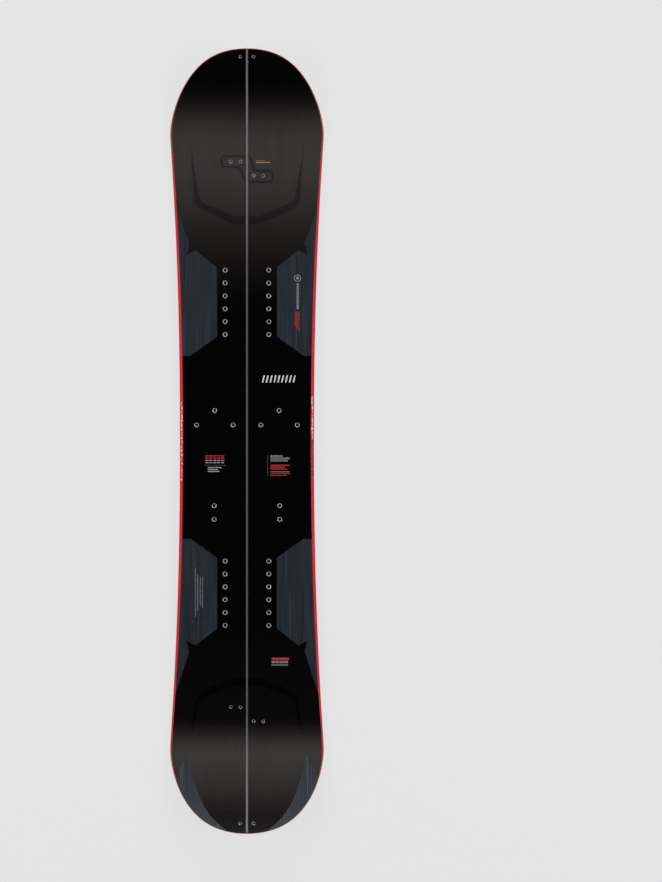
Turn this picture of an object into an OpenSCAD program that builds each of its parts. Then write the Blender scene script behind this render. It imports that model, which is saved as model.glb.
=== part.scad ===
// Splitboard: a two-piece snowboard that pulls apart along its long middle line into two skis.
// Every half is a laminate of separate pieces. +Y points to the nose, +Z up, and the floor is z = 0.

/* [Board] */
// Overall length from tail to nose
length = 1550; // [1500:5:1600]
// Width across the widest points of nose and tail, outside the steel edges
nose_w = 303.5; // [290:0.5:315]
// Width at the narrowest point, outside the steel edges
waist_w = 265; // [250:0.5:275]
// Distance from the middle to each widest point
wide_y = 597; // [585:1:610]
// Gap between the two halves along the seam
seam_gap = 0.2; // [0.1:0.1:1]

/* [Side profile] */
// Height of the camber arch at the middle
camber_h = 5; // [1:0.5:8]
// Distance from the middle to each line where the base meets the floor
contact_y = 575; // [560:1:585]
// Radius of the upturned nose and tail
kick_r = 430; // [380:5:600]
// Laminate thickness between the feet
mid_t = 9.4; // [8.4:0.1:10.4]
// Laminate thickness at nose and tail
tip_t = 5.8; // [5.4:0.1:6.6]

/* [Layers] */
// Thickness of the sintered base
base_t = 1.3; // [1:0.1:1.6]
// Width of the steel edge's running strip
edge_w = 2; // [1.6:0.1:2.6]
// Width of the steel edge's tang, which lies on the base
tang_w = 5; // [3:0.5:6]
// Thickness of the tang
tang_t = 0.6; // [0.5:0.1:0.8]
// Thickness of the rubber strip on the tang
damping_t = 0.3; // [0.2:0.1:0.5]
// Thickness of the glass laminate under the core
lower_glass_t = 0.5; // [0.4:0.1:0.8]
// Thickness of the glass laminate over the core
upper_glass_t = 0.7; // [0.5:0.1:0.9]
// Thickness of the topsheet
topsheet_t = 0.5; // [0.4:0.1:0.7]
// Width of the sidewall along the seam
seam_wall_w = 1.9; // [1.4:0.1:2.4]

/* [Threaded inserts] */
// Distance from the seam to the column of puck inserts
puck_x = 43.1; // [40:0.1:50]
// Pitch of the puck inserts along the board
puck_pitch = 25.4; // [24:0.1:26]
// Middle of the front column of puck inserts
front_puck_y = 273.8; // [260:0.1:285]
// Middle of the rear column of puck inserts
rear_puck_y = -300.5; // [-315:0.5:-290]
// Outer radius of an insert for bindings, which is its bright ring
main_insert_r = 4.6; // [4:0.1:5]
// Outer radius of an insert for hooks and tip clips
small_insert_r = 3.4; // [3.2:0.1:3.8]
// Bore radius of a main insert, cut for an M6 thread
main_bore_r = 2.5; // [2.4:0.05:2.6]
// Bore radius of a small insert, cut for an M5 thread
small_bore_r = 2.1; // [2:0.05:2.2]

/* [Hidden] */
$fn = 64;

// Seam side of a half, and the line where its topsheet starts
tip_y = length / 2;
seam_x = seam_gap / 2;
wall_setback = 0.2;
top_x = seam_x + wall_setback + seam_wall_w;

// Outline: sidecut between the widest points, and beyond them an oval whose very end is blunter
sidecut_power = 2.2;
nose_power = 1.83;
tail_power = 2.05;
blunt_power = 10;
blunt_share = 0.1;
blend = 1.2;
tip_steps = 22;
last_tip_angle = 87;

// Side profile
taper_start_y = 330;
taper_end_y = 640;
camber_steps = 14;
camber_crowding = 1.3;
kick_steps = 20;
profile_overrun = 5;

// Heights above the base face at which the layers meet
edge_h = base_t + tang_t;
glass_z = edge_h + damping_t;
core_z = glass_z + lower_glass_t;
skin_t = upper_glass_t + topsheet_t;

// Outer sidewall: bevel width at distances from the middle, and the parts beside the bevel
bevel_w = [[0, 6.4], [280, 5.5], [420, 4.6], [600, 3.1], [700, 1.7], [780, 1.5]];
wall_lip_h = 0.7;
wall_ledge_w = 1.5;
glue_line = 0.02;
glass_setback = 0.4;
core_end_y = 690;

// Insert positions on the right half. The left half mirrors them, but its hooks sit hook_stagger
// further forward, so that the two halves' hooks pass each other.
puck_holes = 6;
toe_x = 63.4;
toe_apex_y = 60.3;
toe_base_y = 31.6;
toe_base_half = 36;
heel_x = 64.7;
heel_front_y = -127.6;
heel_rear_y = -154.6;
hook_x = 22.5;
hook_pitch = 19.05;
nose_hook_y = 537.8;
tail_hook_y = -539.3;
hook_stagger = 14;
clip_x = 12.95;
nose_clip_y = 758.5;
tail_clip_y = -754.3;

// Insert details: flange, clearance in its pocket, and the rim below the topsheet's face
main_insert = [main_insert_r, main_bore_r, 8];
small_insert = [small_insert_r, small_bore_r, 5.5];
flange_t = 0.9;
pocket_fit = 0.05;
insert_seat = 0.15;
rim_drop = 0.2;
bore_floor = 0.6;
bore_chamfer = 0.3;

// ---- Side profile ----

function past_contact(y) = max(0, abs(y) - contact_y);
function slope(y) = asin(past_contact(y) / kick_r) * sign(y);
function arch(y) = camber_h * pow(1 - pow(y / contact_y, 2), 2);
function kick(y) = kick_r - sqrt(pow(kick_r, 2) - pow(past_contact(y), 2));
function base_z(y) = abs(y) < contact_y ? arch(y) : kick(y);
function thickness(y) = lookup(abs(y), [[taper_start_y, mid_t], [taper_end_y, tip_t]]);
function above_base(d) = function(y) base_z(y) + d / cos(slope(y));
function below_top(d) = function(y) base_z(y) + (thickness(y) - d) / cos(slope(y));
top_face = below_top(0);

function mirrored(list) = concat([for (i = [len(list) - 1:-1:1]) -list[i]], list);
kick_length = tip_y + profile_overrun - contact_y;
// Stations along the camber crowd together towards the contact lines, where outline and profile turn most
camber_y = [for (i = [0:camber_steps]) contact_y * (1 - pow(1 - i / camber_steps, camber_crowding))];
profile_y = mirrored(concat(camber_y, [for (i = [1:kick_steps]) contact_y + kick_length * i / kick_steps]));
// The same height with straight lines between the stations, as the layers have it
function stepped(height) = let (steps = [for (y = profile_y) [y, height(y)]]) function(y) lookup(y, steps);

// ---- Outline of the right half ----

function side_x(y) = (waist_w + (nose_w - waist_w) * pow(abs(y) / wide_y, sidecut_power)) / 2;
function past_wide(y) = max(0, abs(y) - wide_y) / (tip_y - wide_y);
function oval(u, power) = sqrt(1 - (1 - blunt_share) * pow(u, power) - blunt_share * pow(u, blunt_power));
function end_x(y) = (nose_w + blend) / 2 * oval(past_wide(y), y > 0 ? nose_power : tail_power);
function smooth_min(a, b) = (a + b - sqrt(pow(a - b, 2) + pow(blend, 2))) / 2;
function half_x(y) = smooth_min(side_x(y), end_x(y));
function tip_station(a) = wide_y + (tip_y - wide_y) * sin(a);
rim_y = mirrored(concat(camber_y, [for (i = [0:tip_steps]) tip_station(last_tip_angle * i / tip_steps)]));
rim = concat([[seam_x, -tip_y]], [for (y = rim_y) [half_x(y), y]], [[seam_x, tip_y]]);
rim_last = len(rim) - 1;
function rim_normal(i) =
  i == 0 ? [0, -1] :
  i == rim_last ? [0, 1] :
  let (t = rim[i + 1] - rim[i - 1]) [t.y, -t.x] / norm(t);

// A point of the rim moved inwards by part of the bevel and a fixed distance
function inset_point(i, bevel_share, distance) =
  rim[i] - rim_normal(i) * (bevel_share * lookup(abs(rim[i].y), bevel_w) + distance);
function inset_rim(bevel_share, distance, inner_x) = [
  for (i = [0:rim_last])
    let (p = inset_point(i, bevel_share, distance))
    i == 0 || i == rim_last ? [inner_x, p.y] : p
];

module plan(bevel_share, distance, inner_x) {
  polygon(inset_rim(bevel_share, distance, inner_x));
}

// Everything between two heights that follow the side profile
module slab(low, high) {
  lower = [for (y = profile_y) [y, low(y)]];
  upper = [for (i = [len(profile_y) - 1:-1:0]) [profile_y[i], high(profile_y[i])]];
  rotate([90, 0, 90])
    linear_extrude(height = nose_w)
      polygon(concat(lower, upper));
}

// A plan, given as the child, cut out of one layer of the laminate
module layer(low, high) {
  intersection() {
    translate([0, 0, -tip_t])
      linear_extrude(height = kick_r)
        children();
    slab(low, high);
  }
}

module seam_strip(from_x, width, end_inset) {
  reach = tip_y - end_inset;
  translate([from_x, -reach])
    square([width, 2 * reach]);
}

// ---- Inserts ----

function puck_column(y) = [for (i = [0:puck_holes - 1]) [puck_x, y + (i - (puck_holes - 1) / 2) * puck_pitch]];
front_pucks = puck_column(front_puck_y);
rear_pucks = puck_column(rear_puck_y);
toe_holes = [[toe_x, toe_apex_y], [toe_x - toe_base_half, toe_base_y], [toe_x + toe_base_half, toe_base_y]];
heel_holes = [[heel_x, heel_front_y], [heel_x, heel_rear_y]];
nose_clip = [[clip_x, nose_clip_y]];
tail_clip = [[clip_x, tail_clip_y]];
function hook_holes(y) = [[hook_x - hook_pitch / 2, y], [hook_x + hook_pitch / 2, y]];
function insert_depth(y) = thickness(y) - core_z - insert_seat;

module on_top_face(p) {
  translate([p.x, p.y, top_face(p.y)])
    rotate([slope(p.y), 0, 0])
      children();
}

module insert(type, depth) {
  color("silver")
    difference() {
      union() {
        translate([0, 0, -depth])
          cylinder(r = type[0], h = depth - rim_drop);
        translate([0, 0, -depth])
          cylinder(r = type[2], h = flange_t);
      }
      translate([0, 0, bore_floor - depth])
        cylinder(r = type[1], h = depth);
      translate([0, 0, -rim_drop - bore_chamfer])
        cylinder(r1 = type[1], r2 = type[1] + bore_chamfer, h = bore_chamfer);
    }
}

module inserts(holes, type) {
  for (p = holes)
    on_top_face(p)
      insert(type, insert_depth(p.y));
}

// The space that an insert takes in the layers above the lower glass
module pockets(holes, type) {
  for (p = holes) {
    depth = insert_depth(p.y);
    on_top_face(p) {
      translate([0, 0, -depth - 1])
        cylinder(r = type[0] + pocket_fit, h = depth + 2);
      translate([0, 0, -depth - 1])
        cylinder(r = type[2] + pocket_fit, h = flange_t + pocket_fit + 1);
    }
  }
}

module binding_pockets() {
  pockets(front_pucks, main_insert);
  pockets(rear_pucks, main_insert);
  pockets(toe_holes, main_insert);
  pockets(heel_holes, main_insert);
}

module hook_pockets(stagger) {
  pockets(hook_holes(nose_hook_y + stagger), small_insert);
  pockets(hook_holes(tail_hook_y + stagger), small_insert);
}

// ---- Layers of one half, from the snow up ----

module base() {
  color("#26262a")
    layer(above_base(0), above_base(base_t))
      plan(0, edge_w, seam_x + edge_w);
}

// The strip under the foot and, on the base, the tang: wrapped round nose and tail
module outer_edge() {
  color("lightgray") {
    layer(above_base(0), above_base(edge_h))
      difference() {
        plan(0, 0, seam_x);
        plan(0, edge_w, -edge_w);
      }
    layer(above_base(base_t), above_base(edge_h))
      difference() {
        plan(0, edge_w / 2, seam_x + edge_w);
        plan(0, edge_w + tang_w, -edge_w);
      }
  }
}

module inner_edge() {
  color("lightgray") {
    layer(above_base(0), above_base(edge_h))
      seam_strip(seam_x, edge_w, edge_w);
    layer(above_base(base_t), above_base(edge_h))
      seam_strip(seam_x + edge_w / 2, edge_w / 2 + tang_w, edge_w + tang_w);
  }
}

module edge_damping() {
  color("#151515")
    layer(above_base(edge_h), above_base(glass_z))
      difference() {
        plan(0, glass_setback, seam_x + wall_setback);
        plan(0, edge_w + tang_w, seam_x + edge_w + tang_w);
      }
}

module lower_glass() {
  color("#b9c4b0") {
    layer(above_base(base_t), above_base(core_z))
      plan(0, edge_w + tang_w, seam_x + edge_w + tang_w);
    layer(above_base(glass_z), above_base(core_z))
      plan(0, glass_setback, seam_x + wall_setback);
  }
}

module core_layer(from_y, to_y) {
  layer(above_base(core_z), below_top(skin_t))
    intersection() {
      plan(1, wall_ledge_w, top_x);
      translate([0, from_y])
        square([nose_w, to_y - from_y]);
    }
}

module wood_core(stagger) {
  color("#c9a66b")
    difference() {
      core_layer(-core_end_y, core_end_y);
      binding_pockets();
      hook_pockets(stagger);
    }
}

module nose_spacer() {
  color("#303034")
    difference() {
      core_layer(core_end_y, tip_y);
      pockets(nose_clip, small_insert);
    }
}

module tail_spacer() {
  color("#303034")
    difference() {
      core_layer(-tip_y, -core_end_y);
      pockets(tail_clip, small_insert);
    }
}

// The bevelled wall, swept along the rim: foot, lip, bevel and the ledge under the upper glass
module outer_sidewall() {
  foot = stepped(above_base(core_z));
  lip = stepped(above_base(core_z + wall_lip_h));
  ledge = stepped(below_top(skin_t + glue_line));
  section = [
    [0, glass_setback, foot],
    [0, glass_setback, lip],
    [1, 0, ledge],
    [1, wall_ledge_w, ledge],
    [1, wall_ledge_w, foot]
  ];
  sides = len(section);
  points = [
    for (i = [0:rim_last], part = section)
      let (p = inset_point(i, part[0], part[1]), height = part[2])
      [p.x, p.y, height(p.y)]
  ];
  walls = [
    for (i = [0:rim_last - 1], j = [0:sides - 1])
      let (a = i * sides + j, b = i * sides + (j + 1) % sides)
      each [[a, a + sides, b], [b, a + sides, b + sides]]
  ];
  start_cap = [for (j = [0:sides - 1]) j];
  end_cap = [for (j = [sides - 1:-1:0]) rim_last * sides + j];
  color("#d4243a")
    polyhedron(points, concat(walls, [start_cap, end_cap]));
}

module inner_sidewall() {
  color("#6b6b6e")
    layer(above_base(core_z), below_top(0))
      seam_strip(seam_x + wall_setback, seam_wall_w, lookup(tip_y, bevel_w) + wall_ledge_w);
}

module skin(low, high, stagger) {
  difference() {
    layer(low, high)
      plan(1, 0, top_x);
    binding_pockets();
    hook_pockets(stagger);
    pockets(nose_clip, small_insert);
    pockets(tail_clip, small_insert);
  }
}

module upper_glass(stagger) {
  color("#9aa392")
    skin(below_top(skin_t), below_top(topsheet_t), stagger);
}

module topsheet(stagger) {
  color("#1d1c1e")
    skin(below_top(topsheet_t), below_top(0), stagger);
}

// ---- The two halves ----

module left() {
  mirror([1, 0, 0])
    children();
}

left_stagger = hook_stagger;
right_stagger = -hook_stagger;

left() base();  // left_base
left() outer_edge();  // left_outer_edge
left() inner_edge();  // left_inner_edge
left() edge_damping();  // left_edge_damping
left() lower_glass();  // left_lower_glass
left() wood_core(left_stagger);  // left_wood_core
left() nose_spacer();  // left_nose_spacer
left() tail_spacer();  // left_tail_spacer
left() outer_sidewall();  // left_outer_sidewall
left() inner_sidewall();  // left_inner_sidewall
left() upper_glass(left_stagger);  // left_upper_glass
left() topsheet(left_stagger);  // left_topsheet
left() inserts(front_pucks, main_insert);  // left_front_puck_inserts
left() inserts(rear_pucks, main_insert);  // left_rear_puck_inserts
left() inserts(toe_holes, main_insert);  // left_toe_inserts
left() inserts(heel_holes, main_insert);  // left_heel_inserts
left() inserts(hook_holes(nose_hook_y + left_stagger), small_insert);  // left_nose_hook_inserts
left() inserts(hook_holes(tail_hook_y + left_stagger), small_insert);  // left_tail_hook_inserts
left() inserts(nose_clip, small_insert);  // left_nose_clip_insert
left() inserts(tail_clip, small_insert);  // left_tail_clip_insert
base();  // right_base
outer_edge();  // right_outer_edge
inner_edge();  // right_inner_edge
edge_damping();  // right_edge_damping
lower_glass();  // right_lower_glass
wood_core(right_stagger);  // right_wood_core
nose_spacer();  // right_nose_spacer
tail_spacer();  // right_tail_spacer
outer_sidewall();  // right_outer_sidewall
inner_sidewall();  // right_inner_sidewall
upper_glass(right_stagger);  // right_upper_glass
topsheet(right_stagger);  // right_topsheet
inserts(front_pucks, main_insert);  // right_front_puck_inserts
inserts(rear_pucks, main_insert);  // right_rear_puck_inserts
inserts(toe_holes, main_insert);  // right_toe_inserts
inserts(heel_holes, main_insert);  // right_heel_inserts
inserts(hook_holes(nose_hook_y + right_stagger), small_insert);  // right_nose_hook_inserts
inserts(hook_holes(tail_hook_y + right_stagger), small_insert);  // right_tail_hook_inserts
inserts(nose_clip, small_insert);  // right_nose_clip_insert
inserts(tail_clip, small_insert);  // right_tail_clip_insert
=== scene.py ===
"""Looks of the splitboard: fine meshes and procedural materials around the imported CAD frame.

Lengths are in millimetres until a mesh is made. Each half is built on the +X side, and mirrored for
the left.
"""

import math
import random

import bpy
import numpy as np
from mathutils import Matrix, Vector
from mathutils.geometry import delaunay_2d_cdt


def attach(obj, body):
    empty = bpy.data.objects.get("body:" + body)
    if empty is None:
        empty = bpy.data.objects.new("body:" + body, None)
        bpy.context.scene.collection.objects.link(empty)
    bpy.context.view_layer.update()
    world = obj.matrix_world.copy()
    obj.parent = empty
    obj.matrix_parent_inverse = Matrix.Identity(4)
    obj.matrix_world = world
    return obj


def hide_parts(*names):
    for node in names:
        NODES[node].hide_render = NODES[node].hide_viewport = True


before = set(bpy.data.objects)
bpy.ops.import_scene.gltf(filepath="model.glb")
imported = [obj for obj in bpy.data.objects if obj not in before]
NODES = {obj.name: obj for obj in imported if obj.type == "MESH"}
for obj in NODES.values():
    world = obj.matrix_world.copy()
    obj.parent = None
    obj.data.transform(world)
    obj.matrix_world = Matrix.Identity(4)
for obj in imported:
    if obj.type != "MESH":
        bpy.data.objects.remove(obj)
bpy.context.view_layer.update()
MM = 0.001
SIDES = {"left": -1, "right": 1}

# ---- Shape of the board, as the CAD source has it ----

TIP_Y, WIDE_Y, CONTACT_Y = 775, 597, 575
NOSE_W, WAIST_W, BLEND = 303.5, 265, 1.2
SIDECUT_POWER, NOSE_POWER, TAIL_POWER, BLUNT_POWER, BLUNT_SHARE = 2.2, 1.83, 2.05, 10, 0.1
CAMBER_H, KICK_R = 5, 430
MID_T, TIP_T, TAPER_START_Y, TAPER_END_Y = 9.4, 5.8, 330, 640
SEAM_X = 0.1
TRIM = 0.02
BASE_T, EDGE_H, EDGE_W, TANG_W, CORE_Z = 1.3, 1.9, 2, 5, 2.7
SKIN_T, TOPSHEET_T = 1.2, 0.5
WALL_SETBACK, SEAM_WALL_W, LEDGE_W, LIP_H, GLASS_SETBACK = 0.2, 1.9, 1.5, 0.7, 0.4
TOP_X = SEAM_X + WALL_SETBACK + SEAM_WALL_W
BEVEL_Y, BEVEL_W = [0, 280, 420, 600, 700, 780], [6.4, 5.5, 4.6, 3.1, 1.7, 1.5]
CAMBER_STATIONS, TIP_STATIONS, LAST_TIP_ANGLE = 72, 56, 89.4


def past_contact(y):
    return np.clip(np.abs(y) - CONTACT_Y, 0, None)


def slope(y):
    return np.arcsin(past_contact(y) / KICK_R) * np.sign(y)


def base_z(y):
    arch = CAMBER_H * (1 - (np.clip(np.abs(y), 0, CONTACT_Y) / CONTACT_Y) ** 2) ** 2
    return arch + KICK_R - np.sqrt(KICK_R**2 - past_contact(y) ** 2)


def thickness(y):
    return np.interp(np.abs(y), [TAPER_START_Y, TAPER_END_Y], [MID_T, TIP_T])


def above_base(d):
    return lambda y: base_z(y) + d / np.cos(slope(y))


def below_top(d):
    return lambda y: base_z(y) + (thickness(y) - d) / np.cos(slope(y))


def half_x(y):
    side = (WAIST_W + (NOSE_W - WAIST_W) * abs(y / WIDE_Y) ** SIDECUT_POWER) / 2
    past = max(0, abs(y) - WIDE_Y) / (TIP_Y - WIDE_Y)
    power = NOSE_POWER if y > 0 else TAIL_POWER
    oval = 1 - (1 - BLUNT_SHARE) * past**power - BLUNT_SHARE * past**BLUNT_POWER
    end = (NOSE_W + BLEND) / 2 * math.sqrt(max(0, oval))
    return (side + end - math.hypot(side - end, BLEND)) / 2 - TRIM


def rim_stations(extra=()):
    """Distances along the board at which the rim is sampled, from tail to nose."""
    ahead = [CONTACT_Y * i / CAMBER_STATIONS for i in range(CAMBER_STATIONS)]
    for i in range(TIP_STATIONS + 1):
        a = math.radians(LAST_TIP_ANGLE * i / TIP_STATIONS)
        ahead.append(WIDE_Y + (TIP_Y - WIDE_Y) * math.sin(a))
    return sorted({round(s * y, 5) for y in ahead for s in (-1, 1)} | set(extra))


def rim_frames(extra=()):
    """(point, outward normal, |y|) along the rim of the right half, both seam ends included."""
    frames = [((SEAM_X, -TIP_Y), (0.0, -1.0))]
    step = 0.002
    for y in rim_stations(extra):
        grade = (half_x(y + step) - half_x(y - step)) / (2 * step)
        size = math.hypot(1, grade)
        frames.append(((half_x(y), y), (1 / size, -grade / size)))
    frames.append(((SEAM_X, TIP_Y), (0.0, 1.0)))
    return frames


def inset(at, bevel_share, distance):
    """A point of the rim moved inwards, by a share of the bevel's width there and a distance."""
    (x, y), (nx, ny) = at
    d = bevel_share * np.interp(abs(y), BEVEL_Y, BEVEL_W) + distance
    return x - nx * d, y - ny * d


def inset_outline(bevel_share, distance, inner_x):
    """The half's outline moved inwards, from tail to nose, ending on the line x = inner_x."""
    points = [inset(at, bevel_share, distance) for at in rim_frames()]
    points[0] = (inner_x, points[0][1])
    points[-1] = (inner_x, points[-1][1])
    rounding = 1e-6
    return [p for p in points if p[0] >= inner_x - rounding]


# ---- Inserts ----

PUCK_X, PUCK_PITCH = 43.1, 25.4
PUCKS = [(i - 2.5) * PUCK_PITCH for i in range(6)]
HOOK_X, HOOK_HALF_PITCH, HOOK_STAGGER = 22.5, 9.525, 14
CLIP_X = 12.95
MAIN, SMALL = (4.6, 2.5, 8.0), (3.4, 2.1, 5.5)  # radii of barrel, bore and flange


def hooks(y, side):
    y -= side * HOOK_STAGGER
    return [(HOOK_X - HOOK_HALF_PITCH, y), (HOOK_X + HOOK_HALF_PITCH, y)]


def insert_sets(side):
    """For each node of inserts on one half, their centres and their kind."""
    return {
        "front_puck_inserts": ([(PUCK_X, 273.8 + y) for y in PUCKS], MAIN),
        "rear_puck_inserts": ([(PUCK_X, -300.5 + y) for y in PUCKS], MAIN),
        "toe_inserts": ([(63.4, 60.3), (27.4, 31.6), (99.4, 31.6)], MAIN),
        "heel_inserts": ([(64.7, -127.6), (64.7, -154.6)], MAIN),
        "nose_hook_inserts": (hooks(537.8, side), SMALL),
        "tail_hook_inserts": (hooks(-539.3, side), SMALL),
        "nose_clip_insert": ([(CLIP_X, 758.5)], SMALL),
        "tail_clip_insert": ([(CLIP_X, -754.3)], SMALL),
    }


# ---- Mesh making ----


def make_object(verts, faces, materials, slots=None, sharp_deg=32, name=""):
    """An object from points in mm, with smooth shading that breaks at sharp edges."""
    mesh = bpy.data.meshes.new(name)
    mesh.from_pydata([(x * MM, y * MM, z * MM) for x, y, z in verts], [], faces)
    for m in materials:
        mesh.materials.append(m)
    if slots is not None:
        mesh.polygons.foreach_set("material_index", slots)
    mesh.validate()
    mesh.shade_smooth()
    mesh.set_sharp_from_angle(angle=math.radians(sharp_deg))
    obj = bpy.data.objects.new(name, mesh)
    bpy.context.scene.collection.objects.link(obj)
    return obj


def sheet_normals(obj, sheet_faces, low, high, bevelled):
    """Exact normals on the two faces of a sheet. Its walls and bevels keep their own."""
    mesh = obj.data
    vertex = np.zeros(len(mesh.loops), int)
    mesh.loops.foreach_get("vertex_index", vertex)
    sizes = np.zeros(len(mesh.polygons), int)
    mesh.polygons.foreach_get("loop_total", sizes)
    own = np.zeros(3 * len(sizes))
    mesh.polygons.foreach_get("normal", own)
    points = np.zeros(3 * len(mesh.vertices))
    mesh.vertices.foreach_get("co", points)
    y = points[1::3] / MM
    face = np.repeat(np.arange(len(sizes)), sizes)
    normals = own.reshape(-1, 3)[face]
    step = 0.01
    for first, height, up, skip in ((0, high, 1, bevelled[1]), (sheet_faces, low, -1, bevelled[0])):
        grade = (height(y + step) - height(y - step)) / (2 * step)
        exact = np.stack([0 * y, -grade, 0 * y + 1], 1) * up / np.hypot(1, grade)[:, None]
        pick = (face >= first) & (face < first + sheet_faces) & ~skip[vertex]
        normals[pick] = exact[vertex[pick]]
    mesh.normals_split_custom_set(normals.tolist())


def mirrored_faces(faces, side):
    return faces if side > 0 else [tuple(reversed(f)) for f in faces]


def sweep(rings, side, materials, face_slot=lambda i, j: 0):
    """Skin over a list of rings, each a loop of points, with end caps."""
    n = len(rings[0])
    verts = [(side * x, y, z) for ring in rings for x, y, z in ring]
    faces, slots = [], []
    for i in range(len(rings) - 1):
        for j in range(n):
            a, b = i * n, (i + 1) * n
            k = (j + 1) % n
            faces.append((a + j, b + j, b + k, a + k))
            slots.append(face_slot(i, j))
    faces.append(tuple(range(n)))
    faces.append(tuple(reversed(range(len(verts) - n, len(verts)))))
    slots += [0, 0]
    return make_object(verts, mirrored_faces(faces, side), materials, slots)


def inside(polygon, points):
    """Which points lie inside a polygon, by crossing count."""
    p = np.asarray(polygon, float)
    q = np.roll(p, -1, axis=0)
    x, y = points[:, 0:1], points[:, 1:2]
    with np.errstate(divide="ignore", invalid="ignore"):
        at = p[:, 0] + (y - p[:, 1]) / (q[:, 1] - p[:, 1]) * (q[:, 0] - p[:, 0])
    crosses = ((p[:, 1] > y) != (q[:, 1] > y)) & (x < at)
    return crosses.sum(1) % 2 == 1


CIRCLE_POINTS = 40


def circle(x, y, r, n=CIRCLE_POINTS):
    return [
        (x + r * math.cos(2 * math.pi * i / n), y + r * math.sin(2 * math.pi * i / n))
        for i in range(n)
    ]


def loop_edges(start, count):
    return [(start + i, start + (i + 1) % count) for i in range(count)]


def plate(side, outline, holes, regions, low, high, chamfers, materials):
    """A sheet cut to outline with round holes, following low and high, its faces sorted into regions.

    regions are (polygon in board coordinates, material index), the later ones on top.
    chamfers are the bevels of the lower and the upper rim.
    """
    row, margin, snap, least_area = 12, 2.5, 1e-5, 1e-7
    rows = [i * row for i in range(-int(TIP_Y // row), int(TIP_Y // row) + 1)]
    corner, seam_x = len(outline) - 1, outline[0][0]
    low_y, high_y = outline[0][1], outline[corner][1]
    rows = [y for y in rows if low_y + row / 2 < y < high_y - row / 2]
    outline = np.array(outline + [(seam_x, y) for y in reversed(rows)], float)
    chamfer = max(chamfers)
    ys, xs = outline[1:corner, 1], outline[1:corner, 0]
    loops = [outline]
    if chamfer:
        before, after = np.roll(outline, 1, axis=0), np.roll(outline, -1, axis=0)
        along = after - before
        normal = np.stack([along[:, 1], -along[:, 0]], 1)
        normal /= np.linalg.norm(normal, axis=1)[:, None]
        inner = outline - normal * chamfer
        inner[0] = outline[0] + (chamfer, chamfer)
        inner[corner] = outline[corner] + (chamfer, -chamfer)
        loops.append(inner)
    for x, y, r in holes:
        loops.append(circle(x, y, r))
        if chamfer:
            loops.append(circle(x, y, r + chamfer))
    coords, edges = [], []
    for loop in loops:
        edges += loop_edges(len(coords), len(loop))
        coords += [(side * x, y) for x, y in loop]
    for polygon, _ in regions:
        edges += loop_edges(len(coords), len(polygon))
        coords += [tuple(p) for p in polygon]
    for y in rows:
        far = np.interp(y, ys, xs) - margin
        near = seam_x + margin
        if far > near + margin:
            start = len(coords)
            coords += [(side * near, y), (side * far, y)]
            edges.append((start, start + 1))
    made, _, triangles, _, _, _ = delaunay_2d_cdt(
        [Vector(c) for c in coords], edges, [], 0, snap, False
    )
    flat = np.array([(v.x, v.y) for v in made])
    tri = np.array([list(t) for t in triangles if len(t) == 3])
    centroid = flat[tri].mean(1)
    mirrored = outline * (side, 1)
    keep = inside(mirrored, centroid)
    for x, y, r in holes:
        away = np.hypot(centroid[:, 0] - side * x, centroid[:, 1] - y)
        keep &= away > r * math.cos(math.pi / CIRCLE_POINTS)
    a, b, c = flat[tri[:, 0]], flat[tri[:, 1]], flat[tri[:, 2]]
    area = ((b - a)[:, 0] * (c - a)[:, 1] - (b - a)[:, 1] * (c - a)[:, 0]) / 2
    keep &= np.abs(area) > least_area
    tri[area < 0] = tri[area < 0][:, ::-1]
    tri, centroid = tri[keep], centroid[keep]
    slot = np.zeros(len(tri), int)
    for polygon, index in regions:
        slot[inside(polygon, centroid)] = index
    used, new = np.unique(tri, return_inverse=True)
    tri = new.reshape(-1, 3)
    flat = flat[used]
    n = len(flat)
    directed = {}
    for t, (i, j, k) in enumerate(tri):
        for e in ((i, j), (j, k), (k, i)):
            directed[e] = t
    border = [(e, t) for e, t in directed.items() if (e[1], e[0]) not in directed]
    on_rim = np.zeros(n)
    for (i, j), _ in border:
        on_rim[[i, j]] = 1
    top = high(flat[:, 1]) - on_rim * chamfers[1]
    bottom = low(flat[:, 1]) + on_rim * chamfers[0]
    verts = [(x, y, z) for (x, y), z in zip(flat, top)]
    verts += [(x, y, z) for (x, y), z in zip(flat, bottom)]
    faces = [tuple(int(v) for v in t) for t in tri]
    faces += [tuple(int(v) + n for v in reversed(t)) for t in tri]
    slots = list(slot) * 2
    for (i, j), t in border:
        faces.append((int(j), int(i), int(i) + n, int(j) + n))
        slots.append(0)
    obj = make_object(verts, faces, materials, [int(s) for s in slots])
    rim = np.tile(on_rim > 0, 2)
    sheet_normals(obj, len(tri), low, high, [rim & (c > 0) for c in chamfers])
    return obj


# ---- Outlines of the print ----


def rounded(points, radius, steps=5):
    """A polygon with its corners rounded."""
    p = np.asarray(points, float)
    out = []
    most = 0.45  # share of a side that a corner may take
    for i in range(len(p)):
        corner, back, ahead = p[i], p[i - 1] - p[i], p[(i + 1) % len(p)] - p[i]
        reach = min(radius, np.linalg.norm(back) * most, np.linalg.norm(ahead) * most)
        start = corner + back / np.linalg.norm(back) * reach
        end = corner + ahead / np.linalg.norm(ahead) * reach
        for s in np.linspace(0, 1, steps):
            out.append((1 - s) ** 2 * start + 2 * s * (1 - s) * corner + s**2 * end)
    return [tuple(v) for v in out]


def grown(points, distance):
    """A clockwise or anticlockwise polygon moved outwards by a distance, corner by corner."""
    p = np.asarray(points, float)
    q = np.roll(p, -1, axis=0)
    turn = np.sign(np.sum(p[:, 0] * q[:, 1] - q[:, 0] * p[:, 1]))
    side = q - p
    side /= np.linalg.norm(side, axis=1)[:, None]
    normal = np.stack([side[:, 1], -side[:, 0]], 1) * turn
    before = np.roll(normal, 1, axis=0)
    mitre = normal + before
    mitre /= (mitre * normal).sum(1)[:, None]
    return [tuple(v) for v in p + mitre * distance]


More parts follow.
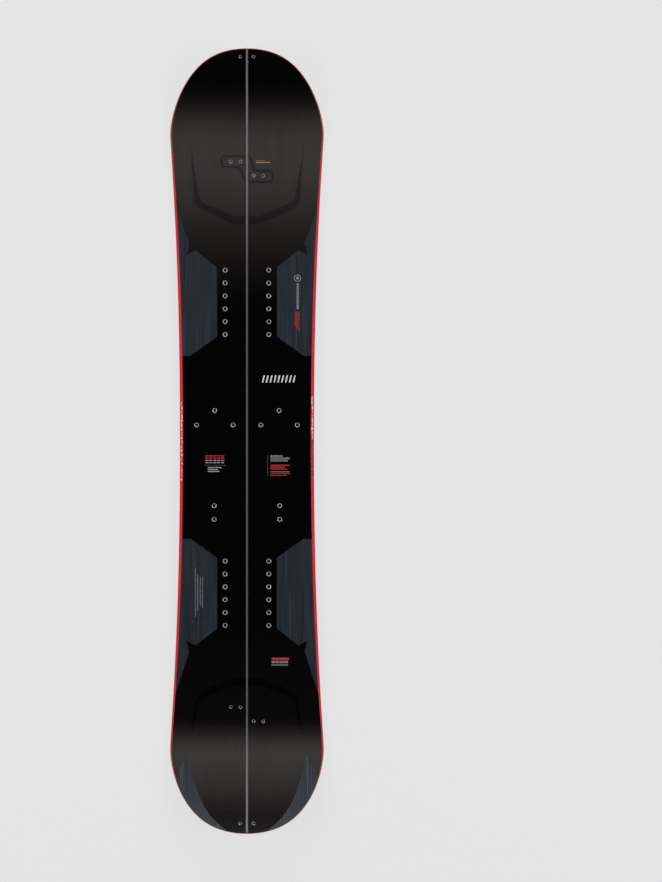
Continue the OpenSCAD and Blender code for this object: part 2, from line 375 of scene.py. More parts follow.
def rectangle(x0, y0, x1, y1):
    return [(x0, y0), (x1, y0), (x1, y1), (x0, y1)]


def dashes(x0, x1, y0, y1, lengths, gap):
    """A row of bars between x0 and x1, with lengths taken in turn."""
    bars, x, i = [], x0, 0
    while x < x1 - gap:
        end = min(x + lengths[i % len(lengths)], x1)
        bars.append(rectangle(x, y0, end, y1))
        x, i = end + gap, i + 1
    return bars


def column(x0, x1, y_top, y_bottom, lengths, gap):
    """The same, running down the board."""
    return [
        [(x, -y) for y, x in bar]
        for bar in dashes(-y_top, -y_bottom, x0, x1, lengths, gap)
    ]


def slanted(x0, x1, y0, y1, lean):
    """A bar whose far end is moved sideways by lean."""
    return [(x0, y0), (x1, y0), (x1 + lean, y1), (x0 + lean, y1)]


OUTSIDE = 175  # beyond the rim, for areas that run off the edge
FRONT_PANEL = [
    (OUTSIDE, 567), (114.5, 391.5), (119, 367.5), (102, 377), (59, 342.5), (59, 206),
    (112, 168), (OUTSIDE, 168),
]
REAR_PANEL = [
    (OUTSIDE, -193.5), (110.5, -193.5), (59, -230.5), (59, -370), (101.5, -403.5), (119, -394.5),
    (114, -416), (OUTSIDE, -604),
]
TAIL_CRESCENT = [
    (117.3, -615), (160, -705), (160, -800), (40, -800), (40, -769), (47, -763.5), (59, -753),
    (70.5, -741), (84, -722), (95, -699), (105, -670), (112, -641),
]
NOSE_BAND = [
    (112, 584), (104.5, 476), (97, 462), (26, 427.5), (-5, 427.5), (-5, 444), (26, 444),
    (86, 470), (94.5, 480), (101, 520),
]
TAIL_BAND = [
    (110, -582), (99.5, -504), (87, -492), (26, -467.5), (-5, -467.5), (-5, -483.5), (26, -483.5),
    (84, -505), (93.5, -512), (103, -552),
]
HOOK_AREA = [
    (-48.5, 560), (5, 560), (12, 531.5), (48.5, 531.5), (48.5, 513.5), (-2, 513.5), (-13.4, 543),
    (-48.5, 543),
]
BASE_PANEL = [
    (OUTSIDE, -85), (107, -53), (72, -107.5), (77.5, -239.5), (112.5, -197.5), (113.7, -210),
    (78.5, -277), (83.5, -402), (122.3, -355), (122.7, -369.7), (85, -441), (89, -550.5), (95, -677),
    (OUTSIDE, -548),
]

# ---- Materials ----


def lin(r, g, b):
    """Linear colour from 0 to 255 screen values."""
    return tuple(
        (c / 12.92 if c <= 0.04045 else ((c + 0.055) / 1.055) ** 2.4)
        for c in (r / 255, g / 255, b / 255)
    ) + (1.0,)


class Paint:
    """A material's node tree with short calls for the nodes used here."""

    def __init__(self, name, **sockets):
        self.material = bpy.data.materials.new(name)
        self.material.use_nodes = True
        self.tree = self.material.node_tree
        self.shader = self.tree.nodes["Principled BSDF"]
        self.place = self.tree.nodes.new("ShaderNodeTexCoord").outputs["Object"]
        self.set(**sockets)

    def link(self, value, socket):
        if isinstance(value, bpy.types.NodeSocket):
            self.tree.links.new(value, socket)
        elif value is not None:
            socket.default_value = value

    def set(self, **sockets):
        for key, value in sockets.items():
            self.link(value, self.shader.inputs[key.replace("_", " ")])

    def math(self, kind, a, b=None, c=None):
        n = self.tree.nodes.new("ShaderNodeMath")
        n.operation = kind
        for value, socket in zip((a, b, c), n.inputs):
            self.link(value, socket)
        return n.outputs[0]

    def split(self):
        n = self.tree.nodes.new("ShaderNodeSeparateXYZ")
        self.link(self.place, n.inputs[0])
        return n.outputs

    def scaled(self, x, y, z):
        n = self.tree.nodes.new("ShaderNodeVectorMath")
        n.operation = "MULTIPLY"
        self.link(self.place, n.inputs[0])
        n.inputs[1].default_value = (x, y, z)
        return n.outputs[0]

    def noise(self, vector, scale=1.0, detail=2.0, rough=0.5, distortion=0.0):
        n = self.tree.nodes.new("ShaderNodeTexNoise")
        self.link(vector, n.inputs["Vector"])
        n.inputs["Scale"].default_value = scale
        n.inputs["Detail"].default_value = detail
        n.inputs["Roughness"].default_value = rough
        n.inputs["Distortion"].default_value = distortion
        return n.outputs["Fac"]

    def remap(self, value, low, high, to_low=0.0, to_high=1.0):
        n = self.tree.nodes.new("ShaderNodeMapRange")
        for v, socket in zip((value, low, high, to_low, to_high), n.inputs):
            self.link(v, socket)
        return n.outputs[0]

    def ramp(self, value, stops):
        n = self.tree.nodes.new("ShaderNodeValToRGB")
        elements = n.color_ramp.elements
        while len(elements) < len(stops):
            elements.new(0.5)
        for e, (at, colour) in zip(elements, stops):
            e.position, e.color = at, colour
        self.link(value, n.inputs[0])
        return n.outputs[0]

    def along(self, stops):
        """A colour that changes along the board: stops are (mm from the middle, screen colour)."""
        share = self.remap(self.split()[1], -TIP_Y * MM, TIP_Y * MM)
        return self.ramp(share, [((y / TIP_Y + 1) / 2, lin(*c)) for y, c in sorted(stops)])

    def mix(self, share, a, b):
        n = self.tree.nodes.new("ShaderNodeMix")
        n.data_type = "RGBA"
        for v, socket in ((share, n.inputs[0]), (a, n.inputs[6]), (b, n.inputs[7])):
            self.link(v, socket)
        return n.outputs[2]

    def bump(self, height, strength, distance_mm):
        n = self.tree.nodes.new("ShaderNodeBump")
        n.inputs["Strength"].default_value = strength
        n.inputs["Distance"].default_value = distance_mm * MM
        self.link(height, n.inputs["Height"])
        self.link(n.outputs[0], self.shader.inputs["Normal"])


BLACK = (0.0, 0.0, 0.0, 1.0)


def grey(v):
    """A screen grey, a touch warm where it is light enough to show."""
    return (v + 2, v - 1.5, v - 1.5) if v > 12 else (v, v, v)


# Screen greys along the board: (mm from the middle, grey). Where they lighten to grey towards nose and
# tail they are painted sheen, as on lit kicks.
TOP_SHEEN_TONES = [
    (775, 1), (715, 1), (700, 4), (681, 13), (661, 27), (641, 41), (622, 52), (600, 58), (560, 59),
    (520, 56), (484, 50), (455, 43), (405, 31), (373, 24), (341, 16), (310, 9), (285, 3), (240, 1),
    (-360, 1), (-420, 5), (-545, 8), (-560, 15), (-582, 40), (-598, 55), (-616, 64), (-645, 58),
    (-677, 49), (-708, 36), (-735, 21), (-775, 11),
]
# The base's greys towards nose and tail are painted sheen as well.
BASE_SHEEN_TONES = [
    (775, 17), (712, 36), (681, 45), (634, 56), (612, 61), (600, 58), (586, 29), (572, 1), (560, 1),
    (-150, 2), (-195, 10), (-274, 21), (-353, 29), (-432, 42), (-491, 48), (-560, 53), (-592, 50),
    (-612, 41), (-629, 22), (-647, 2), (-775, 1),
]


def darker(tones, gain):
    return [(y, tuple(c * gain for c in grey(v))) for y, v in tones]


def topsheet_paint(name, gain=1.0):
    """The lacquered black print, with painted sheen: it lightens to grey towards nose and tail."""
    p = Paint(name, IOR=1.45)
    # painted sheen: the grey towards nose and tail stands in for light on the kicks
    colour = p.along(darker(TOP_SHEEN_TONES, gain))
    mottle = p.noise(p.scaled(60, 9, 60), detail=4)
    p.set(Base_Color=p.mix(p.remap(mottle, 0.3, 0.7, 0, 0.12), colour, BLACK))
    p.set(Roughness=p.remap(p.noise(p.place, 220, 3), 0.3, 0.7, 0.21, 0.27))
    p.bump(p.noise(p.place, 1300, 2), 0.06, 0.05)
    return p.material


def grain_paint(name, gain=(1, 1, 1)):
    """Blue-grey printed veneer: fine streaks along the board, in rows that wander a little."""
    p = Paint(name, IOR=1.45)
    row_pitch = 4.3 * MM
    streak = p.noise(p.scaled(560, 7, 1), detail=1)
    wander = p.noise(p.scaled(40, 5, 1), detail=1)
    pores = p.noise(p.scaled(1500, 40, 1), detail=1)
    turns = p.math("ADD", p.math("MULTIPLY", p.split()[0], 1 / row_pitch), wander)
    rows = p.math("SINE", p.math("MULTIPLY", turns, 2 * math.pi))
    share = p.math("ADD", p.math("MULTIPLY_ADD", streak, 0.42, 0.295), p.math("MULTIPLY", rows, 0.06))
    tones = [(0.32, (24, 30, 37)), (0.46, (33, 39, 46)), (0.54, (41, 47, 55)), (0.68, (58, 65, 73))]
    shade = [(at, tuple(c * g for c, g in zip(tone, gain))) for at, tone in tones]
    colour = p.ramp(share, [(at, lin(*tone)) for at, tone in shade])
    line = p.remap(pores, 0.62, 0.72, 0, 0.4)
    p.set(Base_Color=p.mix(line, colour, lin(*shade[0][1])))
    p.set(Roughness=p.remap(streak, 0.3, 0.7, 0.28, 0.38))
    p.bump(streak, 0.12, 0.05)
    return p.material


def ink_paint(name, colour, wear):
    """Screen-printed ink with a slightly uneven film."""
    p = Paint(name, Roughness=0.42, IOR=1.45)
    film = p.noise(p.place, 700, 3)
    p.set(Base_Color=p.mix(p.remap(film, 0.35, 0.75, 0, 0.35), lin(*colour), lin(*wear)))
    p.bump(film, 0.1, 0.03)
    return p.material


def sidewall_paint(name, gain=1.0):
    """Milled ABS: fine cutter marks along the bevel, duller red round the tips."""
    p = Paint(name, IOR=1.5, Specular_IOR_Level=0.2)
    red, dim = (213, 16, 44), (152, 50, 50)
    colour = p.along([
        (775, dim), (690, dim), (560, (190, 34, 50)), (420, red), (-500, red), (-600, (192, 36, 50)),
        (-690, dim), (-775, dim),
    ])
    marks = p.noise(p.scaled(500, 900, 500), detail=2)
    colour = p.mix(p.remap(marks, 0.35, 0.7, 0, 0.16), colour, lin(120, 16, 30))
    p.set(Base_Color=colour, Roughness=p.remap(marks, 0.3, 0.7, 0.4, 0.55))
    p.bump(marks, 0.2, 0.05)
    return p.material


def seam_paint():
    """Milled grey ABS of the seam wall, lighter towards nose and tail."""
    p = Paint("seam_wall_grey", IOR=1.5)
    marks = p.noise(p.scaled(900, 260, 900), detail=3)
    colour = p.along([
        (775, (104, 103, 102)), (540, (102, 101, 100)), (330, (52, 52, 52)), (-540, (52, 52, 52)),
        (-620, (106, 104, 103)), (-775, (105, 103, 102)),
    ])
    p.set(Base_Color=p.mix(p.remap(marks, 0.3, 0.75, 0, 0.25), colour, lin(44, 44, 45)))
    p.set(Roughness=p.remap(marks, 0.3, 0.7, 0.45, 0.6))
    p.bump(marks, 0.2, 0.04)
    return p.material


def steel_paint(name, scale, rough, colour=(0.62, 0.62, 0.61, 1)):
    """Ground or turned steel: short scratches one way, with small dull patches."""
    p = Paint(name, Metallic=1.0)
    scratch = p.noise(p.scaled(*scale), detail=3, rough=0.7)
    patch = p.noise(p.place, 90, 3)
    dull = tuple(c * 0.7 for c in colour[:3]) + (1,)
    p.set(Base_Color=p.mix(p.remap(patch, 0.4, 0.7, 0, 0.35), colour, dull))
    p.set(Roughness=p.remap(scratch, 0.3, 0.7, rough - 0.08, rough + 0.1))
    p.bump(scratch, 0.15, 0.03)
    return p.material


def insert_paint():
    """Plated and lightly blasted: bright and even."""
    p = Paint("insert_steel", Metallic=0.4, IOR=1.5)
    skin = p.noise(p.place, 3200, 2)
    p.set(Base_Color=p.mix(p.remap(skin, 0.35, 0.7, 0, 0.2), lin(238, 238, 237), lin(205, 205, 203)))
    p.set(Roughness=p.remap(skin, 0.3, 0.7, 0.3, 0.4))
    return p.material


def base_paint(name, stops, weave=True):
    """Sintered base: stone-ground along the board, with a diagonal weave print mirrored at the seam."""
    p = Paint(name, IOR=1.5)
    fine_pitch, coarse_pitch = 5.2 * MM, 10.4 * MM
    # the stops carry painted sheen and shade along the board
    colour = p.along(stops)
    if weave:
        x, y, _ = p.split()
        across = p.math("ABSOLUTE", x)
        phase = p.math("MULTIPLY", p.math("ADD", across, y), 2 * math.pi / fine_pitch)
        other = p.math("MULTIPLY", p.math("SUBTRACT", across, y), 2 * math.pi / coarse_pitch)
        wave = p.math("MULTIPLY", p.math("SINE", phase), p.math("SINE", other))
        colour = p.mix(p.remap(wave, -0.6, 0.6, 0.0, 0.42), colour, BLACK)
    grind = p.noise(p.scaled(1500, 22, 1500), detail=3, rough=0.7)
    p.set(Base_Color=p.mix(p.remap(grind, 0.35, 0.7, 0, 0.14), colour, BLACK))
    p.set(Roughness=p.remap(grind, 0.3, 0.7, 0.3, 0.5))
    p.bump(grind, 0.35, 0.03)
    return p.material


def wood_paint():
    """Glued strips 18 mm wide, each with its own tone, and grain along the board."""
    p = Paint("core_wood", Roughness=0.6)
    strip_width, spread, scatter = 18 * MM, 12.9898, 43.5453
    strip = p.math("FLOOR", p.math("MULTIPLY", p.split()[0], 1 / strip_width))
    turn = p.math("SINE", p.math("MULTIPLY", strip, spread))
    tone = p.math("FRACT", p.math("MULTIPLY", turn, scatter))
    grain = p.noise(p.scaled(700, 14, 500), detail=4, rough=0.6, distortion=0.6)
    colour = p.mix(tone, lin(196, 160, 108), lin(222, 192, 142))
    p.set(Base_Color=p.mix(p.remap(grain, 0.4, 0.75, 0, 0.6), colour, lin(140, 100, 58)))
    p.bump(grain, 0.2, 0.08)
    return p.material


def glass_paint():
    """Glass cloth in cured resin: crossed rovings under a clear film."""
    p = Paint("glass_laminate", Roughness=0.35, IOR=1.52)
    x, y, _ = p.split()
    turns = 2 * math.pi / (1.6 * MM)
    warp, weft = (p.math("SINE", p.math("MULTIPLY", v, turns)) for v in (x, y))
    cloth = p.math("MULTIPLY", warp, weft)
    p.set(Base_Color=p.mix(p.remap(cloth, -1, 1), lin(84, 88, 78), lin(120, 124, 110)))
    p.bump(cloth, 0.2, 0.05)
    return p.material


def plain_paint(name, colour, other, rough, scale):
    """Moulded or cast stock: fine pebbled skin with slight tone changes."""
    p = Paint(name, IOR=1.5)
    skin = p.noise(p.place, scale, 3)
    p.set(Base_Color=p.mix(p.remap(skin, 0.3, 0.7), lin(*colour), lin(*other)))
    p.set(Roughness=p.remap(skin, 0.3, 0.7, rough, rough + 0.15))
    p.bump(skin, 0.3, 0.05)
    return p.material


def red_sheen_stops():
    """The base's red panels, with painted light and shade: they turn orange and then dull towards the
    tail.
    """
    top, low = (229, 38, 41), (231, 80, 59)
    return [
        (775, top), (-53, top), (-250, (229, 50, 45)), (-520, low), (-548, (226, 82, 61)),
        (-594, (190, 82, 64)), (-618, (178, 66, 54)), (-640, (172, 44, 45)), (-775, (172, 40, 42)),
    ]


TOPSHEET = [
    topsheet_paint("topsheet_black"),
    topsheet_paint("topsheet_band", 0.72),
    # darker copies for the painted shadow round the hook area
    topsheet_paint("hook_painted_shadow_outer", 0.82),
    topsheet_paint("hook_painted_shadow_inner", 0.66),
    topsheet_paint("hook_field", 1.0),
    topsheet_paint("topsheet_tail_band", 0.15),
    grain_paint("panel_grain"),
    grain_paint("crescent_grain", (1.4, 1.33, 1.24)),
    ink_paint("ink_red", (214, 48, 44), (170, 36, 34)),
    ink_paint("ink_white", (222, 222, 226), (184, 184, 190)),
    ink_paint("ink_silver", (164, 168, 172), (124, 128, 132)),
    ink_paint("ink_grey", (74, 78, 84), (56, 60, 66)),
]
(BAND, HOOK_SHADOW_OUTER, HOOK_SHADOW_INNER, FIELD, TAIL_SHADE, GRAIN, CRESCENT, RED, WHITE, SILVER,
 PALE) = range(1, len(TOPSHEET))
BASE = [
    base_paint("base_black", darker(BASE_SHEEN_TONES, 1)),
    base_paint("base_red", red_sheen_stops(), weave=False),
]
SIDEWALL = [
    sidewall_paint("sidewall_red"),
    ink_paint("sidewall_print_light", (250, 206, 204), (232, 150, 150)),
    ink_paint("sidewall_print_dark", (72, 14, 22), (44, 10, 16)),
]
SEAM = seam_paint()
EDGE_STEEL = steel_paint("edge_steel", (300, 1600, 300), 0.34)
INSERT_STEEL = insert_paint()
# painted shade: near-black steel for the bore, its floor and the barrel's broken edge
BORE_SHADE_STEEL = steel_paint("insert_bore_shade", (900, 900, 900), 0.6, (0.035, 0.033, 0.032, 1))
CORE = wood_paint()
GLASS = glass_paint()
SPACER = plain_paint("spacer_abs", (34, 34, 36), (48, 48, 50), 0.5, 900)
RUBBER = plain_paint("rubber_foil", (16, 16, 16), (26, 26, 26), 0.75, 1400)

# ---- Print on the topsheet ----


def topsheet_regions(side):
    """Printed areas, the hook area ringed by painted shadow, then the made-up marks on top of them:
    (polygon, index in TOPSHEET).
    """
    both = [
        (NOSE_BAND, BAND), (TAIL_BAND, TAIL_SHADE), (FRONT_PANEL, GRAIN), (REAR_PANEL, GRAIN),
        (TAIL_CRESCENT, CRESCENT),
    ]
    regions = [([(side * x, y) for x, y in p], i) for p, i in both]
    regions += [
        # painted shadow: two darker rings round the hook area stand in for the shadow at its pressed edge
        (rounded(grown(HOOK_AREA, 4.6), 10), HOOK_SHADOW_OUTER),
        (rounded(grown(HOOK_AREA, 2.4), 7), HOOK_SHADOW_INNER),
        (rounded(HOOK_AREA, 5), FIELD),
    ]
    marks = []

    def add(index, bars):
        marks.extend((b, index) for b in bars)

    def pair(index, x, y0, y1, width, thick):
        """Two level bars, one on y0 and one under y1."""
        for y in (y0, y1 - thick):
            add(index, [rectangle(x, y, x + width, y + thick)])

    if side > 0:
        add(RED, dashes(18, 37, 552.8, 554.4, [1.6, 1.2, 2], 0.8))
        add(SILVER, dashes(18, 45, 549, 550.8, [1.6, 1.2, 2.2, 1.4], 0.8))
        for index, radius, points in ((SILVER, 6.6, 32), (GRAIN, 5.7, 32), (SILVER, 2.3, 24)):
            add(index, [circle(99.7, 321.5, radius, points)])
        add(SILVER, column(98, 102.4, 311, 259, [0.9, 1.2, 0.9, 0.8], 1.1))
        for k, bottom in enumerate((226, 219, 222, 214)):
            x = 94.5 + 2.5 * k
            add(RED, column(x, x + 1.7, 255, bottom, [1.1, 0.9, 1.3], 1.3))
        for k in range(9):
            x = 29.5 + 7.6 * k
            add(WHITE, [slanted(x, x + 2.6, 115.5, 129.5, 3.4)])
        add(PALE, [rectangle(40.3, -69, 41.2, -27.5)])
        for y, end in ((-29.8, 70), (-34.3, 84), (-38.8, 80)):
            add(SILVER, dashes(46.5, end, y + 0.5, y + 1.5, [3.2, 2.4, 4], 0.8))
            add(SILVER, dashes(46.5, end, y - 1.5, y - 0.5, [2.6, 3.4, 2], 0.8))
        for y, end in ((-48.8, 84), (-52.6, 74), (-56.4, 79)):
            add(RED, [rectangle(46.5, y, end, y + 1.8)])
        add(SILVER, dashes(46.5, 84, -61.6, -60.3, [1.6, 2.2, 1.2], 0.9))
        add(RED, dashes(46.5, 86, -65.4, -63.8, [2.6, 1.8, 3.2], 0.8))
        add(RED, dashes(46.5, 80, -68.8, -67.4, [1.8, 2.6, 1.4], 0.8))
        add(RED, [rectangle(48.9, -432.2, 83, -427.9)])
        add(SILVER, dashes(48.9, 83, -438.4, -434.2, [1.3, 1.7, 1.1], 1.4))
        add(SILVER, dashes(48.9, 83, -443.6, -440.6, [0.8, 1.0], 1.3))
    else:
        for k in range(5):
            pair(RED, -83 + 7.9 * k, -34.6, -28.4, 6.5, 1.9)
            pair(SILVER, -82 + 7.7 * k, -43.6, -37.6, 6.1, 1.6)
        add(PALE, [rectangle(-84, -48.4, -41.5, -47.4)])
        for y, end in ((-53.3, -50.5), (-57.1, -58), (-60.9, -54)):
            add(SILVER, [rectangle(-77.5, y, end, y + 1.7)])
        for x, first, last in (
            (-101.8, -251, -348), (-97.2, -264, -336), (-92.2, -268, -325), (-87.7, -268, -331),
        ):
            add(SILVER, column(x - 0.6, x + 0.6, first, last, [1.2, 0.9, 1.5], 1.2))
        arm, half = 3, 0.45
        for x, out in ((-107.5, -1), (-82.5, 1)):
            for y, up in ((-241.5, 1), (-357.5, -1)):
                far_x, far_y = x - arm * out, y - arm * up
                add(PALE, [
                    rectangle(min(x, far_x), y - half, max(x, far_x), y + half),
                    rectangle(x - half, min(y, far_y), x + half, max(y, far_y)),
                ])
    return regions + marks


def base_regions(side):
    """The red side panel, and on one half a row of made-up slanted blocks."""
    regions = [([(side * x, y) for x, y in BASE_PANEL], 1)]
    if side < 0:
        for k in range(6):
            y = 212 + 56 * k
            regions.append(([(-104, y), (-30, y + 14), (-30, y + 42), (-104, y + 28)], 1))
    return regions


# ---- Pieces ----


def claim(obj, side_name, node):
    """Tells the frame which half an object rides on and which node it stands for."""
    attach(obj, side_name + "_half")
    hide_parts(f"{side_name}_{node}")
    return obj


PRINT_END, PRINT_STEP = 80, 2
PRINT_STATIONS = [float(y) for y in range(-PRINT_END, PRINT_END + 1, PRINT_STEP)]


def print_cells(side):
    """Cells of the sidewall's bevel that are printed, as short bars: {(station y, strip): slot}."""
    rng = random.Random(5 + side)
    cells = {}
    y = -PRINT_END
    while y < PRINT_END - PRINT_STEP:
        run = rng.choice((2, 3, 4, 5)) * PRINT_STEP
        dark = side > 0 and y < 0
        narrow = ((2,), (3,), (2, 3), (3, 4), (2, 3, 4))
        wide = ((2, 3, 4), (3, 4, 5), (1, 2, 3, 4, 5))
        strips = rng.choice(wide if dark else narrow)
        if not (side > 0 and rng.random() < 0.2):
            for k in range(0, run, PRINT_STEP):
                for s in strips:
                    cells[(y + k, s)] = 2 if dark else 1
        y += run + PRINT_STEP
    return cells


def outer_sidewall(side):
    """The red wall: a low upright lip, then the bevel up to the ledge that the topsheet ends on."""
    foot, lip, ledge = above_base(CORE_Z), above_base(CORE_Z + LIP_H), below_top(SKIN_T)
    soft = 0.22
    # (share of the bevel's width, distance inwards, height or share of the height from lip to ledge)
    section = [(0, GLASS_SETBACK, foot), (0, GLASS_SETBACK, above_base(CORE_Z + LIP_H - soft))]
    section += [(0.035, GLASS_SETBACK * 0.96, lip)]
    for share in (0.2, 0.35, 0.5, 0.65, 0.8, 0.96):
        section.append((share, GLASS_SETBACK * (1 - share), share))
    section += [(1, 0, ledge), (1, LEDGE_W, ledge), (1, LEDGE_W, foot)]
    frames = rim_frames(PRINT_STATIONS)
    rings = []
    for at in frames:
        ring = []
        for share, distance, height in section:
            x, y = inset(at, share, distance)
            if callable(height):
                z = float(height(y))
            else:
                low, high = float(lip(y)), float(ledge(y))
                z = low + (high - low) * height
            ring.append((max(x, SEAM_X), y, z))
        rings.append(ring)
    cells = print_cells(side)
    first_strip = 3

    def slot(i, j):
        y = frames[i][0][1]
        if abs(y) > PRINT_END or y % PRINT_STEP:
            return 0
        return cells.get((int(y), j - first_strip + 1), 0)

    return sweep(rings, side, SIDEWALL, slot)


def outer_edge(side):
    """The steel edge and its tang, with small breaks on the corners."""
    corner = 0.2
    reach = EDGE_W + TANG_W
    section = [
        (corner, 0), (0, corner), (0, EDGE_H - corner / 2), (corner / 2, EDGE_H), (reach, EDGE_H),
        (reach, BASE_T), (EDGE_W, BASE_T), (EDGE_W, corner / 2), (EDGE_W - corner / 2, 0),
    ]
    rings = []
    for at in rim_frames():
        ring = []
        for distance, d in section:
            x, y = inset(at, 0, distance)
            ring.append((max(x, SEAM_X), y, float(above_base(d)(y))))
        rings.append(ring)
    return sweep(rings, side, [EDGE_STEEL])


def inner_sidewall(side):
    """The grey wall along the seam, its upper corner eased."""
    soft, stations = 0.25, 260
    x0, x1 = SEAM_X + WALL_SETBACK, TOP_X
    foot = above_base(CORE_Z)
    reach = TIP_Y - np.interp(TIP_Y, BEVEL_Y, BEVEL_W) - LEDGE_W
    section = [
        (x0, below_top(soft)), (x0 + soft * 0.3, below_top(soft * 0.3)), (x0 + soft, below_top(0)),
        (x1, below_top(0)), (x1, foot), (x0, foot),
    ]
    rings = [
        [(x, y, float(z(y))) for x, z in section] for y in np.linspace(-reach, reach, stations)
    ]
    return sweep(rings, side, [SEAM])


RIM_ROW, BORE_ROW = 5, 10  # of the profile below: the barrel's broken edge, and the first row in the bore


def insert_profile(kind, depth):
    """Half section of an insert, from underside to bore: (radius, height over the topsheet)."""
    barrel, bore, flange = kind
    top, dish_grade = -0.2, 0.22
    pitch, land = (1.0 if kind is MAIN else 0.8), 0.08
    root, sink = bore + 0.35, bore + (1.15 if kind is MAIN else 0.7)
    dish = top - (barrel - 0.35 - sink) * dish_grade
    points = [
        (0, -depth), (flange - 0.15, -depth), (flange, -depth + 0.15), (flange, -depth + 0.8),
        (flange - 0.1, -depth + 0.9), (barrel, -depth + 0.95), (barrel, top - 0.35),
        (barrel - 0.25, top - 0.06), (barrel - 0.32, top), (barrel - 0.4, top), (sink, dish),
        (sink - 0.05, dish - 0.05), (sink - 0.08, top - 0.9), (root, top - 1), (bore, top - 1.2),
    ]
    z, floor = top - 1.3, -depth + 0.6
    while z - pitch > floor + 0.4:
        points += [(bore, z), (root, z - pitch * 0.45), (root, z - pitch * 0.55), (bore, z - pitch)]
        z -= pitch + land
    points += [(bore, floor), (0, floor)]
    return points


def inserts(side, holes, kind):
    """Turned inserts, square to the topsheet where they sit."""
    segments, under_gap = 48, 0.15
    verts, faces, slots = [], [], []
    for x, y in holes:
        depth = float(thickness(y)) - CORE_Z - under_gap
        tilt = float(slope(y))
        z0 = float(below_top(0)(y))
        profile = insert_profile(kind, depth)
        start = len(verts)
        inner = profile[1:-1]
        for r, h in inner:
            for k in range(segments):
                a = 2 * math.pi * k / segments
                px, py = r * math.cos(a), r * math.sin(a)
                verts.append((
                    side * (x + px),
                    y + py * math.cos(tilt) - h * math.sin(tilt),
                    z0 + py * math.sin(tilt) + h * math.cos(tilt),
                ))
        for h in (profile[0][1], profile[-1][1]):
            verts.append((side * x, y - h * math.sin(tilt), z0 + h * math.cos(tilt)))
        under, floor = len(verts) - 2, len(verts) - 1
        for i in range(len(inner) - 1):
            for k in range(segments):
                m = (k + 1) % segments
                a, b = start + i * segments, start + (i + 1) * segments
                faces.append((a + k, a + m, b + m, b + k))
            # the bore rows and the broken edge take the near-black steel, painted shade
            slots += [int(i >= BORE_ROW or i == RIM_ROW)] * segments
        last = start + (len(inner) - 1) * segments
        for k in range(segments):
            m = (k + 1) % segments
            faces.append((under, start + m, start + k))
            faces.append((floor, last + k, last + m))
            slots += [0, 1]
    metals = [INSERT_STEEL, BORE_SHADE_STEEL]
    return make_object(verts, mirrored_faces(faces, side), metals, slots, sharp_deg=40)


POCKET_FIT = 0.05
for side_name, side in SIDES.items():
    sets = insert_sets(side)
    holes = [(x, y, kind[0] + POCKET_FIT) for spots, kind in sets.values() for x, y in spots]
    topsheet = plate(
        side, inset_outline(1, 0, TOP_X), holes, topsheet_regions(side), below_top(TOPSHEET_T),
        below_top(0), (0.0, 0.12), TOPSHEET,
    )
    base = plate(
        side, inset_outline(0, EDGE_W, SEAM_X + EDGE_W), [], base_regions(side), above_base(0),
        above_base(BASE_T), (0.0, 0.0), BASE,
    )
    for node, obj, slot in (
        ("topsheet", topsheet, "topsheet_black"),
        ("base", base, "base_ptex"),
        ("outer_sidewall", outer_sidewall(side), "sidewall_red"),
        ("outer_edge", outer_edge(side), "edge_steel"),
        ("inner_sidewall", inner_sidewall(side), "seam_wall_grey"),
    ):
        obj.name = f"{side_name}_{node}_surface"
        claim(obj, side_name, node)
    for node, (spots, kind) in sets.items():
        obj = inserts(side, spots, kind)
        obj.name = f"{side_name}_{node}_turned"
        claim(obj, side_name, node)
    for node, material in (
        ("inner_edge", EDGE_STEEL), ("edge_damping", RUBBER), ("lower_glass", GLASS),
        ("upper_glass", GLASS), ("wood_core", CORE), ("nose_spacer", SPACER), ("tail_spacer", SPACER),
    ):
        mesh = NODES[f"{side_name}_{node}"].data
        mesh.materials.clear()
        mesh.materials.append(material)

# ---- Studio ----


def floor():
    """A pale floor just under the board, which glows a little as a lit backdrop does."""
    half, level = 400000, -0.4
    plain = Paint("floor_pale", Base_Color=(0.1, 0.1, 0.1, 1), Roughness=0.9, Specular_IOR_Level=0.0)
    plain.set(Emission_Color=(1, 1, 1, 1), Emission_Strength=0.693)
    verts = [(x, y, level) for x, y in rectangle(-half, -half, half, half)]
    make_object(verts, [(0, 1, 2, 3)], [plain.material], name="floor")


def softbox(name, azimuth, elevation, width, height, watts):
    """A large area light that looks at the board's middle."""
    distance = 6
    data = bpy.data.lights.new(name, "AREA")
    data.shape, data.size, data.size_y, data.energy = "RECTANGLE", width, height, watts
    obj = bpy.data.objects.new(name, data)
    a, e = math.radians(azimuth), math.radians(elevation)
    back = Vector((math.sin(a) * math.cos(e), -math.cos(a) * math.cos(e), math.sin(e)))
    obj.location = back * distance
    obj.rotation_mode = "QUATERNION"
    obj.rotation_quaternion = back.to_track_quat("Z", "Y")
    bpy.context.scene.collection.objects.link(obj)


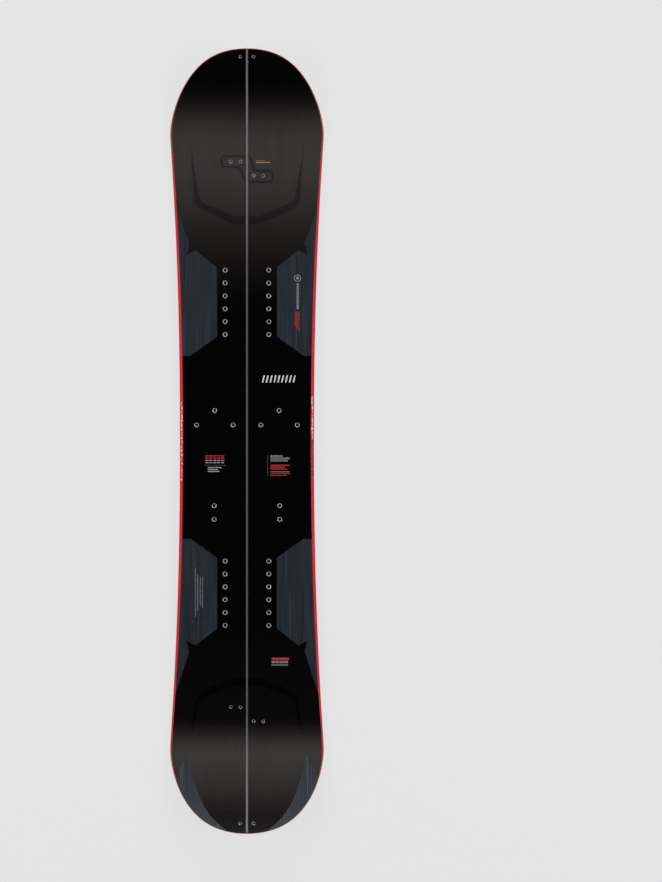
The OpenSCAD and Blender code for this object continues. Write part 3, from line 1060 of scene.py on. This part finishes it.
def studio():
    """A sky that is pale at the horizon and dark overhead, brighter past the nose, and four softboxes."""
    horizon, aloft, tail_gain, nose_gain = 0.03, 0.15, 0.55, 1.25
    world = bpy.data.worlds.new("studio")
    world.use_nodes = True
    tree = world.node_tree
    background = tree.nodes["Background"]
    generated = tree.nodes.new("ShaderNodeTexCoord").outputs["Generated"]
    split = tree.nodes.new("ShaderNodeSeparateXYZ")
    ramp = tree.nodes.new("ShaderNodeValToRGB")
    tree.links.new(generated, split.inputs[0])
    tree.links.new(split.outputs[2], ramp.inputs[0])
    tree.links.new(ramp.outputs[0], background.inputs[0])
    glow = tree.nodes.new("ShaderNodeMapRange")
    glow.inputs[1].default_value = -1
    tree.links.new(split.outputs[1], glow.inputs[0])
    for index, gain in ((3, tail_gain), (4, nose_gain)):
        fade = tree.nodes.new("ShaderNodeMapRange")
        for value, socket in zip((horizon, aloft, 1, gain), list(fade.inputs)[1:5]):
            socket.default_value = value
        tree.links.new(split.outputs[2], fade.inputs[0])
        tree.links.new(fade.outputs[0], glow.inputs[index])
    tree.links.new(glow.outputs[0], background.inputs[1])
    stops = ramp.color_ramp.elements
    stops.new(0.2)
    for stop, (at, level) in zip(stops, ((horizon, 0.787), (0.2, 0.35), (0.4, 0.01))):
        stop.position, stop.color = at, (level, level, level, 1)
    bpy.context.scene.world = world
    softbox("key_left", -90, 32, 4.6, 2.4, 228)
    softbox("key_right", 90, 32, 4.6, 2.4, 228)
    softbox("fill_nose", 180, 18, 3.6, 1.2, 230)
    softbox("fill_tail", 0, 18, 3.6, 1.2, 30)


def camera():
    """Straight above, far off with a long lens, the board left of the middle."""
    data = bpy.data.cameras.new("camera")
    data.lens, data.sensor_width, data.clip_end = 1000, 36, 2000
    obj = bpy.data.objects.new("camera", data)
    obj.location = (0.1659, 0, 48.38)
    bpy.context.scene.collection.objects.link(obj)
    bpy.context.scene.camera = obj


floor()
studio()
camera()
view_settings = bpy.context.scene.view_settings
view_settings.view_transform, view_settings.look = "Standard", "None"
